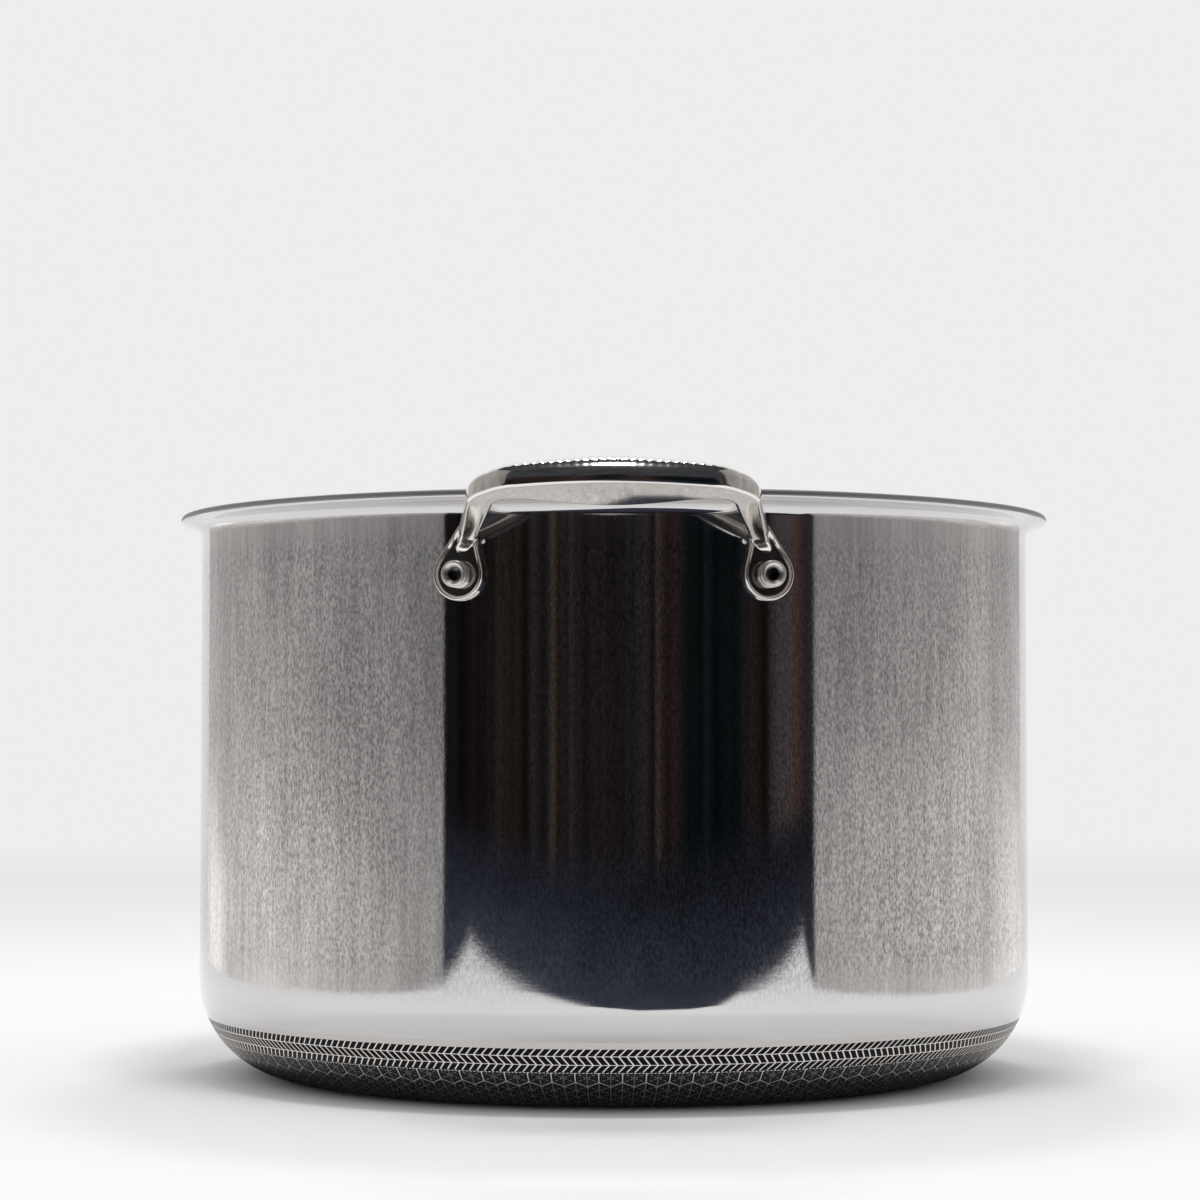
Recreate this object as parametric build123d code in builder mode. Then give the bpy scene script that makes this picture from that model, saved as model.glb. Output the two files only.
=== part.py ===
from build123d import *

import os
from math import cos, pi, radians, sin, sqrt

# Two-handled stock pot of three-ply clad steel, without a lid.
# Frame: +Z up, origin at the middle of the base where the pot rests, handles towards -Y and +Y.

# Pot body
outer_radius = 130.0
body_height = 174.0
corner_radius = 31.0            # between the wall and the base, on the outer skin
outer_skin = 0.5                # magnetic stainless steel
core_layer = 1.6                # aluminium
inner_skin = 0.5                # stainless steel
wall = outer_skin + core_layer + inner_skin
inner_radius = outer_radius - wall
flat_radius = outer_radius - corner_radius

# Flared rim
flare_radius = 4.0              # under the flare, on the outer skin
flare_angle = 75.0              # how far the wall turns outwards
lip_length = 2.55
lip_round = wall / 2
lip_rise = flare_radius * sin(radians(flare_angle)) + lip_length * cos(radians(flare_angle))
flare_start = body_height - lip_round * (1 + sin(radians(flare_angle))) - lip_rise

# Non-stick coating, laid flush in shallow etched recesses
coat = 0.12
band_top_angle = 23.0           # on the corner's arc, measured down from the wall
band_end_angle = 84.0
contact_recess = 0.05           # the underside field stands this far off the stove
field_inner = 25.0
field_outer = 92.0
coated_wall_top = 138.0

# Handles: two riveted lugs, two legs and a bulged grip, whose middle lines lie in one tilted plane
rivet_angle = 19.1              # each side of the handle's middle, around the pot
rivet_height = 150.4
lug_radius = 7.4
lug_neck_radius = 2.7
lug_neck_height = 11.8
lug_lean = 10.0                 # the lug leans towards the handle's middle
lug_thickness = 3.1
lug_lip = 1.1                   # raised edge around the lug's sunk face
lug_sunk = 0.9
lug_root = 1.0                  # the lug is made this much too deep, then cut to the wall
handle_tilt = 17.0
leg_foot = (41.0, -124.4, 161.4)
leg_reach = 40.6                # along the tilt, from the leg's foot to the grip's middle line
grip_half_length = 35.0         # where the lines of leg and grip would cross
handle_bend = 11.0
underside_edge = 1.2
top_edge = 0.46                 # radius of the top edges, as a share of the section's size
section_counts = (2, 3, 7, 3, 2)    # sections along a leg, a bend, the grip, a bend and a leg
# How far a section reaches from the line: at the foot, added along the leg, added by the bulged grip
reach_outwards = (2.6, 0.9, 5.4)
reach_inwards = (2.6, 1.3, 5.2)
reach_up = (2.9, 0.9, 2.5)
reach_down = (2.9, 0.5, 0.3)
growth_share = 0.55             # share of the half line over which the leg grows

# Rivets, with a domed head inside the pot and a hollow clinched end outside
shank_radius = 2.5
rivet_clearance = 0.05
head_radius = 6.0
head_height = 1.8
head_edge = 0.6                 # how high the dome's edge stands off the wall
collar_radius = 3.85
collar_height = 1.7
collar_bevel = 0.3
clinch_radius = 3.75
clinch_height = 1.9
clinch_groove = 0.35            # between the collar and the clinched ring
clinch_bevel = 0.35
socket_radius = 1.75
socket_mouth = 2.85
socket_taper = 0.9
socket_depth = 4.2

os.makedirs("parts", exist_ok=True)


def save(part, name):
    part.label = name
    export_step(part, f"parts/{name}.step")


def corner_point(depth, angle):
    """A point on the base corner, at a depth under the outer skin and an angle down from the wall."""
    reach = corner_radius - depth
    return (flat_radius + reach * cos(radians(angle)), corner_radius - reach * sin(radians(angle)))


def flare_point(depth, angle):
    """A point on the flare, at a depth under the outer skin and an angle turned outwards."""
    reach = flare_radius + depth
    return (
        outer_radius + flare_radius - reach * cos(radians(angle)),
        flare_start + reach * sin(radians(angle)),
    )


def lip_point(depth):
    """Where a layer at this depth meets the rounded end of the lip."""
    start_r, start_z = flare_point(depth, flare_angle)
    length = lip_length + sqrt(lip_round**2 - (depth - lip_round) ** 2)
    return (
        start_r + length * sin(radians(flare_angle)),
        start_z + length * cos(radians(flare_angle)),
    )


def layer_side(depth):
    """One side of a layer, from the axis along the base, up the wall and out to the lip."""
    Line((0, depth), (flat_radius, depth))
    ThreePointArc((flat_radius, depth), corner_point(depth, 45), (outer_radius - depth, corner_radius))
    Line((outer_radius - depth, corner_radius), (outer_radius - depth, flare_start))
    ThreePointArc(
        (outer_radius - depth, flare_start),
        flare_point(depth, flare_angle / 2),
        flare_point(depth, flare_angle),
    )
    Line(flare_point(depth, flare_angle), lip_point(depth))


def layer(outside, inside):
    """A full clad layer of the pot between two depths under its outer surface."""
    with BuildPart() as made:
        with BuildSketch(Plane.XZ):
            with BuildLine():
                layer_side(outside)
                ThreePointArc(lip_point(outside), lip_point((outside + inside) / 2), lip_point(inside))
                layer_side(inside)
                Line((0, outside), (0, inside))
            make_face()
        revolve(axis=Axis.Z)
    return made.part


# Coatings first, because the two skins are recessed for them
with BuildPart() as side_band_coating:
    with BuildSketch(Plane.XZ):
        middle_angle = (band_top_angle + band_end_angle) / 2
        with BuildLine():
            ThreePointArc(*[corner_point(0, a) for a in (band_top_angle, middle_angle, band_end_angle)])
            Line(corner_point(0, band_end_angle), corner_point(coat, band_end_angle))
            ThreePointArc(*[corner_point(coat, a) for a in (band_end_angle, middle_angle, band_top_angle)])
            Line(corner_point(coat, band_top_angle), corner_point(0, band_top_angle))
        make_face()
    revolve(axis=Axis.Z)
save(side_band_coating.part, "side_band_coating")

with BuildPart() as underside_coating:
    with BuildSketch(Plane.XY.offset(contact_recess)):
        Circle(field_outer)
        Circle(field_inner, mode=Mode.SUBTRACT)
    extrude(amount=coat)
save(underside_coating.part, "underside_coating")

with BuildPart() as interior_coating:
    bare = wall - coat
    with BuildSketch(Plane.XZ):
        with BuildLine():
            Line((0, bare), (flat_radius, bare))
            ThreePointArc((flat_radius, bare), corner_point(bare, 45), (outer_radius - bare, corner_radius))
            Line((outer_radius - bare, corner_radius), (outer_radius - bare, coated_wall_top))
            Line((outer_radius - bare, coated_wall_top), (inner_radius, coated_wall_top))
            Line((inner_radius, coated_wall_top), (inner_radius, corner_radius))
            ThreePointArc((inner_radius, corner_radius), corner_point(wall, 45), (flat_radius, wall))
            Line((flat_radius, wall), (0, wall))
            Line((0, wall), (0, bare))
        make_face()
    revolve(axis=Axis.Z)
save(interior_coating.part, "interior_coating")


# Rivet seats: each plane lies on the wall at a rivet, facing outwards
def rivet_plane(handle_side, hand):
    """handle_side is -1 for the handle at -Y and 1 for the one at +Y; hand is -1 for its -X lug."""
    outward = Vector(hand * sin(radians(rivet_angle)), handle_side * cos(radians(rivet_angle)), 0)
    seat = outward * outer_radius + Vector(0, 0, rivet_height)
    return Plane(origin=seat, x_dir=Vector(0, 0, 1).cross(outward), z_dir=outward)


sides = {"front": -1, "rear": 1}
hands = {"left": -1, "right": 1}
seats = {
    f"{side}_{hand}": rivet_plane(side_sign, hand_sign)
    for side, side_sign in sides.items()
    for hand, hand_sign in hands.items()
}

with BuildPart() as rivet_holes:
    with Locations(*[seat.offset(-wall) for seat in seats.values()]):
        Cylinder(shank_radius + rivet_clearance, 4 * wall)

# The three clad layers
with BuildPart() as outer_skin_part:
    add(layer(0, outer_skin))
    add(side_band_coating.part, mode=Mode.SUBTRACT)
    with BuildSketch(Plane.XY):
        Circle(field_outer)
        Circle(field_inner, mode=Mode.SUBTRACT)
    extrude(amount=contact_recess + coat, mode=Mode.SUBTRACT)
    add(rivet_holes.part, mode=Mode.SUBTRACT)
save(outer_skin_part.part, "outer_steel_skin")

with BuildPart() as core_part:
    add(layer(outer_skin, outer_skin + core_layer))
    add(rivet_holes.part, mode=Mode.SUBTRACT)
save(core_part.part, "aluminium_core")

with BuildPart() as inner_skin_part:
    add(layer(outer_skin + core_layer, wall))
    add(interior_coating.part, mode=Mode.SUBTRACT)
    add(rivet_holes.part, mode=Mode.SUBTRACT)
save(inner_skin_part.part, "inner_steel_skin")


# Handle at -Y; the rear one is its mirror image
def lug_outline():
    Circle(lug_radius)
    with Locations((0, lug_neck_height)):
        Circle(lug_neck_radius)
    make_hull()


def leaning(seat, hand):
    """The seat's plane, turned so that its upright leans towards the handle's middle."""
    lean = radians(lug_lean)
    upright = seat.x_dir * (-hand * sin(lean)) + seat.y_dir * cos(lean)
    return Plane(origin=seat.origin, x_dir=upright.cross(seat.z_dir), z_dir=seat.z_dir)


tilt = radians(handle_tilt)
foot_x, foot_y, foot_z = leg_foot
handle_plane = Plane(
    origin=(0, foot_y, foot_z), x_dir=(-1, 0, 0), z_dir=(0, sin(tilt), cos(tilt))
)
with BuildLine(handle_plane) as handle_line:
    FilletPolyline(
        (foot_x, 0),
        (grip_half_length, leg_reach),
        (-grip_half_length, leg_reach),
        (-foot_x, 0),
        radius=handle_bend,
    )

leg, *_, grip = handle_line.edges().filter_by(GeomType.LINE).sort_by(SortBy.LENGTH)
bend = handle_line.edges().filter_by(GeomType.CIRCLE)[0]
line_length = 2 * leg.length + 2 * bend.length + grip.length


def ease(share):
    """A smooth rise from 0 to 1."""
    return (1 - cos(pi * max(0.0, min(1.0, share)))) / 2


def section_reaches(half):
    """How far a section reaches outwards, inwards, up and down, at a share of the half line."""
    growth = ease(half / growth_share)
    share = max(0.0, (half - growth_share) / (1 - growth_share))
    full_bulge = sin(share * pi / 2)
    hollow_bulge = ease(share)
    return [
        foot + growth * grown + bulge * bulged
        for (foot, grown, bulged), bulge in (
            (reach_outwards, full_bulge),
            (reach_inwards, hollow_bulge),
            (reach_up, full_bulge),
            (reach_down, full_bulge),
        )
    ]


def section_plane(place):
    """The plane across the handle's middle line at a place from 0 to 1, with its X axis pointing inwards."""
    along = handle_line.line % place
    return Plane(origin=handle_line.line @ place, x_dir=handle_plane.z_dir.cross(along), z_dir=along)


with BuildPart() as front_handle:
    for hand_name, hand in hands.items():
        face = leaning(seats[f"front_{hand_name}"], hand)
        with BuildSketch(face.offset(-lug_root)):
            lug_outline()
        extrude(amount=lug_root + lug_thickness)
        with BuildSketch(face.offset(lug_thickness - lug_sunk)):
            lug_outline()
            offset(amount=-lug_lip, mode=Mode.REPLACE)
        extrude(amount=lug_sunk, mode=Mode.SUBTRACT)
    travelled = 0
    for span, count in zip((leg, bend, grip, bend, leg), section_counts):
        for index in range(count):
            place = (travelled + span.length * index / (count - 1)) / line_length
            with BuildSketch(section_plane(place)) as section:
                outwards, inwards, up, down = section_reaches(2 * min(place, 1 - place))
                with Locations(((inwards - outwards) / 2, (up - down) / 2)):
                    Rectangle(inwards + outwards, up + down)
                top_radius = top_edge * min(inwards + outwards, 2 * up + down)
                fillet(section.vertices().group_by(Axis.Y)[-1], top_radius)
                fillet(section.vertices().group_by(Axis.Y)[0], underside_edge)
        loft(ruled=count == 2)
        travelled += span.length
    with Locations((0, 0, rivet_height)):
        Cylinder(outer_radius, 4 * lug_radius, mode=Mode.SUBTRACT)
    add(rivet_holes.part, mode=Mode.SUBTRACT)
save(front_handle.part, "front_handle")

with BuildPart() as rear_handle:
    mirror(front_handle.part, about=Plane.XZ)
save(rear_handle.part, "rear_handle")

# One rivet and one collar, made standing on Z with the wall's outside at zero, then set on each seat
lug_face = lug_thickness - lug_sunk
clinch_start = lug_face + collar_height + clinch_groove
rivet_top = clinch_start + clinch_height

with BuildPart() as rivet:
    with BuildSketch(Plane.XZ):
        with BuildLine():
            TangentArc((0, -wall - head_height), (head_radius, -wall - head_edge), tangent=(1, 0))
            Line((head_radius, -wall - head_edge), (head_radius, 0))
            Line((head_radius, 0), (0, 0))
            Line((0, 0), (0, -wall - head_height))
        make_face()
    revolve(axis=Axis.Z)
    with Locations(Location((0, 0, -outer_radius), (90, 0, 0))):
        Cylinder(inner_radius, 4 * head_radius, mode=Mode.INTERSECT)
    with BuildSketch(Plane.XZ):
        with BuildLine():
            Polyline(
                (0, -wall - head_height / 2),
                (0, rivet_top - socket_depth),
                (socket_radius, rivet_top - socket_depth),
                (socket_radius, rivet_top - socket_taper),
                (socket_mouth, rivet_top),
                (clinch_radius - clinch_bevel, rivet_top),
                (clinch_radius, rivet_top - clinch_bevel),
                (clinch_radius, clinch_start),
                (shank_radius, clinch_start),
                (shank_radius, -wall - head_height / 2),
                close=True,
            )
        make_face()
    revolve(axis=Axis.Z)

with BuildPart() as collar:
    with BuildSketch(Plane.XY.offset(lug_face)):
        Circle(collar_radius)
        Circle(shank_radius + rivet_clearance, mode=Mode.SUBTRACT)
    extrude(amount=collar_height)
    chamfer(collar.edges().group_by(Axis.Z)[-1].sort_by(SortBy.RADIUS)[-1], collar_bevel)

for place, seat in seats.items():
    with BuildPart() as placed_rivet:
        with Locations(seat):
            add(rivet.part)
    save(placed_rivet.part, f"{place}_rivet")
    with BuildPart() as placed_collar:
        with Locations(seat):
            add(collar.part)
    save(placed_collar.part, f"{place}_collar")
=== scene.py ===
import math

import bmesh
import bpy
from mathutils import Matrix, Vector


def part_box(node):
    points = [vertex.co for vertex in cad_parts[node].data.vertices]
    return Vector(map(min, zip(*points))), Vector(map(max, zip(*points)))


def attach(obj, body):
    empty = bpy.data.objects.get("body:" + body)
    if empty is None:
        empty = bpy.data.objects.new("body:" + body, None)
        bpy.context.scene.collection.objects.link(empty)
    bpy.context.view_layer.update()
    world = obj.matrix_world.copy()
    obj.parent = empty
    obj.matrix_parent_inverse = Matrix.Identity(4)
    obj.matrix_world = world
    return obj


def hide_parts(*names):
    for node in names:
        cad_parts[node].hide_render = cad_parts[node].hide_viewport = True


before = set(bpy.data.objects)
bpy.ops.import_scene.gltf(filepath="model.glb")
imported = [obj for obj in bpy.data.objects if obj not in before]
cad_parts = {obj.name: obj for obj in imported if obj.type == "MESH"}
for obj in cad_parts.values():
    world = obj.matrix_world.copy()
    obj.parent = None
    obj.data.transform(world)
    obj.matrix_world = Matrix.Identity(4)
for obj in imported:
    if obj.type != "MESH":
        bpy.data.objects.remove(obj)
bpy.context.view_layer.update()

mm = 0.001
print("frame loaded")


# maths on sockets: an expression adds its Math nodes
class Field:
    def __init__(self, sheet, socket):
        self.sheet = sheet
        self.socket = socket

    def join(self, operation, first, second=0.0):
        return self.sheet.node("ShaderNodeMath", {"operation": operation}, {0: first, 1: second})

    def __add__(self, other):
        return self.join("ADD", self, other)

    def __radd__(self, other):
        return self.join("ADD", other, self)

    def __sub__(self, other):
        return self.join("SUBTRACT", self, other)

    def __rsub__(self, other):
        return self.join("SUBTRACT", other, self)

    def __mul__(self, other):
        return self.join("MULTIPLY", self, other)

    def __rmul__(self, other):
        return self.join("MULTIPLY", other, self)

    def __truediv__(self, other):
        return self.join("DIVIDE", self, other)

    def __lt__(self, other):
        return self.join("LESS_THAN", self, other)

    def __gt__(self, other):
        return self.join("GREATER_THAN", self, other)

    def __abs__(self):
        return self.join("ABSOLUTE", self)

    def __mod__(self, other):
        return self.join("FLOORED_MODULO", self, other)

    def least(self, other):
        return self.join("MINIMUM", self, other)

    def most(self, other):
        return self.join("MAXIMUM", self, other)

    def root(self):
        return self.join("SQRT", self)


class Sheet:
    def __init__(self, name):
        self.material = bpy.data.materials.new(name)
        self.material.use_nodes = True
        self.tree = self.material.node_tree
        self.tree.nodes.clear()
        self.output = self.tree.nodes.new("ShaderNodeOutputMaterial")

    def node(self, kind, settings=None, inputs=None, output=0):
        made = self.tree.nodes.new(kind)
        for key, value in (settings or {}).items():
            setattr(made, key, value)
        for key, value in (inputs or {}).items():
            if isinstance(value, Field):
                self.tree.links.new(value.socket, made.inputs[key])
            elif isinstance(value, tuple) and len(value) == 3 and made.inputs[key].type == "RGBA":
                made.inputs[key].default_value = (*value, 1)
            else:
                made.inputs[key].default_value = value
        return Field(self, made.outputs[output])

    def finish(self, shader):
        self.tree.links.new(shader.socket, self.output.inputs["Surface"])
        return self.material

    def surface(self, inputs):
        return self.finish(self.node("ShaderNodeBsdfPrincipled", {}, inputs))

    def glow(self, colour, strength):
        return self.node("ShaderNodeEmission", {}, {"Color": colour, "Strength": strength})

    def place(self):
        return self.node("ShaderNodeTexCoord", output="Object")

    def axes(self):
        split = self.node("ShaderNodeSeparateXYZ", {}, {0: self.place()})
        return [Field(self, split.socket.node.outputs[axis]) for axis in range(3)]

    def vector(self, x, y, z):
        return self.node("ShaderNodeCombineXYZ", {}, {0: x, 1: y, 2: z})

    def angle(self, rise, run):
        return self.node("ShaderNodeMath", {"operation": "ARCTAN2"}, {0: rise, 1: run})

    def noise(self, vector, detail=2.0, roughness=0.5):
        return self.node("ShaderNodeTexNoise", {}, {
            "Vector": vector, "Scale": 1.0, "Detail": detail, "Roughness": roughness})

    def unevenness(self, density, detail=2.0, roughness=0.5):
        # noise with so many features to a metre along each axis
        dense = self.node("ShaderNodeVectorMath", {"operation": "MULTIPLY"}, {0: self.place(), 1: density})
        return self.noise(dense, detail, roughness)

    def blend(self, factor, first, second):
        return self.node("ShaderNodeMix", {"data_type": "RGBA"}, {0: factor, 6: first, 7: second}, output=2)

    def scaled(self, colour, light):
        return self.node("ShaderNodeVectorMath", {"operation": "SCALE"}, {0: colour, "Scale": light})

    def remap(self, value, fromMin, fromMax, toMin=0.0, toMax=1.0):
        return self.node("ShaderNodeMapRange", {}, {
            0: value, 1: fromMin, 2: fromMax, 3: toMin, 4: toMax})

    def bump(self, height, distance, normal=None):
        inputs = {"Height": height, "Distance": distance}
        if normal is not None:
            inputs["Normal"] = normal
        return self.node("ShaderNodeBump", {}, inputs)


def dimmed(colour, share):
    return tuple(part * share for part in colour)


# sizes read from the frame
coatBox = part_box("underside_coating")
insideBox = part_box("interior_coating")
coat = coatBox[1].z - coatBox[0].z
wall = insideBox[0].z + coat
outerRadius = insideBox[1].x + insideBox[0].z
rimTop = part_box("inner_steel_skin")[1].z
innerRadius = outerRadius - wall

pot = {
    "cornerRadius": 31 * mm,
    "skin": 0.5 * mm,
    "flareRadius": 4.0 * mm,
    "flareAngle": 75.0,
    "lipLength": 2.50 * mm,
    "bandTopAngle": 23.0,
    "bandEndAngle": 84.0,
    "fieldInner": 25 * mm,
    "segments": 288,
    "cornerSteps": 24,
    "coatSteps": 32,
    "flareSteps": 14,
    "wallStart": 4 * mm,        # first ring of the wall above the corner
}
flatRadius = outerRadius - pot["cornerRadius"]
lipRound = wall / 2
flareSin = math.sin(math.radians(pot["flareAngle"]))
flareCos = math.cos(math.radians(pot["flareAngle"]))
flareRise = pot["flareRadius"] * flareSin + pot["lipLength"] * flareCos
flareStart = rimTop - lipRound * (1 + flareSin) - flareRise
wallFoot = pot["cornerRadius"] + pot["wallStart"]


def cornerPoint(depth, angle):
    reach = pot["cornerRadius"] - depth
    return Vector((flatRadius + reach * math.cos(math.radians(angle)), 0,
                   pot["cornerRadius"] - reach * math.sin(math.radians(angle))))


def flarePoint(depth, angle):
    reach = pot["flareRadius"] + depth
    return Vector((outerRadius + pot["flareRadius"] - reach * math.cos(math.radians(angle)), 0,
                   flareStart + reach * math.sin(math.radians(angle))))


def lipPoint(depth):
    length = pot["lipLength"] + math.sqrt(max(0.0, lipRound ** 2 - (depth - lipRound) ** 2))
    return flarePoint(depth, pot["flareAngle"]) + length * Vector((flareSin, 0, flareCos))


def arc(pointAt, start, end, steps):
    return [pointAt(start + (end - start) * index / steps) for index in range(steps + 1)]


def rimSide(depth, fromHeight):
    # up the wall from a height, then round the flare to the lip
    points = [Vector((outerRadius - depth, 0, fromHeight)), Vector((outerRadius - depth, 0, flareStart))]
    points += arc(lambda angle: flarePoint(depth, angle), 0, pot["flareAngle"], pot["flareSteps"])[1:]
    return points + [lipPoint(depth)]


def plainSide(depth):
    # a whole ply boundary, from the axis to the lip
    points = [Vector((0, 0, depth)), Vector((flatRadius, 0, depth))]
    points += arc(lambda angle: cornerPoint(depth, angle), 90, 0, pot["cornerSteps"])[1:]
    return points + rimSide(depth, wallFoot)


mergeDistance = 0.001 * mm


def lathe(name, profile, material, segments):
    shell = bmesh.new()
    corners = [shell.verts.new(point) for point in profile]
    edges = [shell.edges.new(pair) for pair in zip(corners, corners[1:])]
    bmesh.ops.spin(shell, geom=corners + edges, cent=(0, 0, 0), axis=(0, 0, 1), dvec=(0, 0, 0),
                   angle=2 * math.pi, steps=segments, use_merge=True)
    return finishMesh(name, shell, material)


def finishMesh(name, shell, material, sharpAbove=35.0):
    bmesh.ops.remove_doubles(shell, verts=shell.verts, dist=mergeDistance)
    bmesh.ops.recalc_face_normals(shell, faces=shell.faces)
    for face in shell.faces:
        face.smooth = True
    for edge in shell.edges:
        edge.smooth = edge.calc_face_angle(0.0) < math.radians(sharpAbove)
    mesh = bpy.data.meshes.new(name)
    shell.to_mesh(mesh)
    shell.free()
    mesh.materials.append(material)
    piece = bpy.data.objects.new(name, mesh)
    bpy.context.collection.objects.link(piece)
    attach(piece, "root")
    return piece


# bare steel of the two skins
steelLook = {
    "colour": (0.74, 0.73, 0.725),
    "wallRoughness": 0.048,
    "insideRoughness": 0.24,
    "insideGrain": 0.6,          # share of the wall's grain
    "brushHeight": 0.0012 * mm,
    "brushAcross": 9000,         # brush lines to a metre
    "brushAlong": 25,
    "ringAlong": 6,              # breaks in one round of a turned line
    "brushSpread": 0.05,         # of the roughness
    "wallFrom": (20 * mm, 32 * mm),   # turned lines below, brushed lines above
    "grainHeight": 0.0035 * mm,
    "grainWidth": 0.62 * mm,
    "grainTall": 1.5 * mm,
    "speckle": (0.44, 1.07),     # darkest and lightest share of the colour in the grain
    "grainFrom": 34 * mm,
    "grainTo": 163 * mm,
    "smear": (14, 14, 9),
    "smearShare": 0.95,
    "smearSpread": 0.03,
    "plainShare": 0.93,          # of the colour where there is no grain
}


def polarPlace(sheet):
    x, y, z = sheet.axes()
    radius = (x * x + y * y).root()
    turn = sheet.angle(y, x) / (2 * math.pi)
    return x, y, z, radius, turn


def brushLines(sheet):
    x, y, z, radius, turn = polarPlace(sheet)
    along, across = steelLook["brushAlong"], steelLook["brushAcross"]
    onWall = sheet.remap(z, *steelLook["wallFrom"])
    wallLines = sheet.noise(sheet.vector(x * along, y * along, z * across), 3.0, 0.65)
    ringLines = sheet.noise(sheet.vector(radius * across, turn * steelLook["ringAlong"], 0.0), 3.0, 0.65)
    return onWall * wallLines + (1 - onWall) * ringLines


def brushedSteel(name, roughness, grain):
    sheet = Sheet(name)
    x, y, z = sheet.axes()
    lines = brushLines(sheet)
    wide, tall = steelLook["grainWidth"], steelLook["grainTall"]
    grainField = sheet.noise(sheet.vector(x / wide, y / wide, z / tall), 2.0, 0.7)
    smear = sheet.unevenness(steelLook["smear"], 3.0)
    onStraight = (sheet.remap(z, steelLook["grainFrom"] - 5 * mm, steelLook["grainFrom"] + 8 * mm)
                  * sheet.remap(z, steelLook["grainTo"] + 3 * mm, steelLook["grainTo"] - 5 * mm))
    strength = onStraight * sheet.remap(smear, 0.35, 0.65, 0.55, 1.0) * grain
    grainNormal = sheet.bump(grainField * onStraight, steelLook["grainHeight"] * grain)
    normal = sheet.bump(lines, steelLook["brushHeight"], grainNormal)
    rough = roughness + (lines - 0.5) * steelLook["brushSpread"] + (smear - 0.5) * steelLook["smearSpread"]
    flecks = sheet.remap(grainField, 0.36, 0.64, *steelLook["speckle"])
    tone = (1 - strength) * steelLook["plainShare"] + strength * flecks
    plain = sheet.blend(sheet.remap(smear, 0.3, 0.7), dimmed(steelLook["colour"], steelLook["smearShare"]),
                        steelLook["colour"])
    return sheet.surface({
        "Base Color": sheet.scaled(plain, tone), "Metallic": 1.0, "Roughness": rough, "Normal": normal})


# the core shows as a thin line only where the lip is cut
coreLook = {
    "colour": (0.42, 0.42, 0.43),
    "roughness": 0.42,
    "spread": 0.12,
    "lines": (60, 60, 5000),
    "lineHeight": 0.004 * mm,
}
coreSheet = Sheet("coreAluminium")
coreLines = coreSheet.unevenness(coreLook["lines"], 3.0)
coreAluminium = coreSheet.surface({
    "Base Color": coreLook["colour"], "Metallic": 1.0,
    "Roughness": coreLook["roughness"] + coreLines * coreLook["spread"],
    "Normal": coreSheet.bump(coreLines, coreLook["lineHeight"])})

# coating and the steel lines etched through it
etching = {
    "hexWidth": 6.5 * mm,
    "hexagonsRound": 116,
    "hexagonsInside": 123,
    "rows": (0.0, 2.33 * mm, 5.25 * mm, 7.8 * mm),   # edges of the slanted rows, from the zone's top
    "latticeStart": 8.17 * mm,
    "latticeShift": 0.2887,     # of a hexagon, so that its points meet the dashed line
    "cells": 3,                 # slanted cells to a hexagon
    "slantWidth": 0.20,         # share of one slanted cell
    "slant": 0.88,              # how far a slanted line leans, in cells
    "slantSoft": 0.03,
    "ruleWidth": 0.24 * mm,
    "ruleSoft": 0.03 * mm,
    "dash": (2, 0.3, 0.06),     # dashes to a cell, half length and soft edge
    "hexLine": (0.021, 0.008),  # half width and soft edge, share of a hexagon
    "hairLine": (0.011, 0.006),
    "hairDots": (9, 0.26, 0.08),
    "hairShare": 0.55,
    "specks": 12,               # to a hexagon, each way
    "speckAcross": (0.10, 0.05),
    "speckDown": (0.13, 0.05),
    "speckShare": 0.3,
    "speckClear": (0.06, 0.12),     # distance kept from a hexagon's sides
    "floorBorder": (0.9 * mm, 0.05 * mm),
    "floorRule": (0.25 * mm, 0.05 * mm),
    "steel": (0.90, 0.885, 0.87),
    "coating": (0.0032, 0.0032, 0.0045),
    "hazeShare": 1.7,           # of the coating's colour where it is lightest
    "depth": 0.03 * mm,
    "gritHeight": 0.03,         # share of that depth
    "gritSpread": 0.2,          # of the roughness
    "gloss": 0.08,
}


def onLine(sheet, value, half, soft):
    # 1 where a folded value is near zero
    return sheet.remap(abs(value), half + soft, half - soft)


def repeated(sheet, value, count, half, soft):
    return onLine(sheet, (value * count) % 1.0 - 0.5, half, soft)


def latticeLines(sheet, across, down):
    # hexagons one unit wide, standing on their points
    tall = math.sqrt(3)
    firstX = abs(across % 1.0 - 0.5)
    firstY = abs((down + tall / 2) % tall - tall / 2)
    secondX = abs((across + 0.5) % 1.0 - 0.5)
    secondY = abs(down % tall - tall / 2)
    firstFar = firstX.most(firstX * 0.5 + firstY * (tall / 2))
    secondFar = secondX.most(secondX * 0.5 + secondY * (tall / 2))
    edge = 0.5 - firstFar.least(secondFar)
    sides = onLine(sheet, edge, *etching["hexLine"])
    inFirst = firstFar < secondFar
    middle = inFirst * firstX + (1 - inFirst) * secondX
    along = inFirst * firstY + (1 - inFirst) * secondY
    dots = repeated(sheet, down, *etching["hairDots"])
    hair = onLine(sheet, middle, *etching["hairLine"]) * dots
    arms = onLine(sheet, along - middle * (1 / tall), *etching["hairLine"]) * dots
    specks = (repeated(sheet, across, etching["specks"], *etching["speckAcross"])
              * repeated(sheet, down, etching["specks"], *etching["speckDown"])
              * sheet.remap(edge, *etching["speckClear"]))
    return sides.most(hair.most(arms) * etching["hairShare"]).most(specks * etching["speckShare"])


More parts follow.
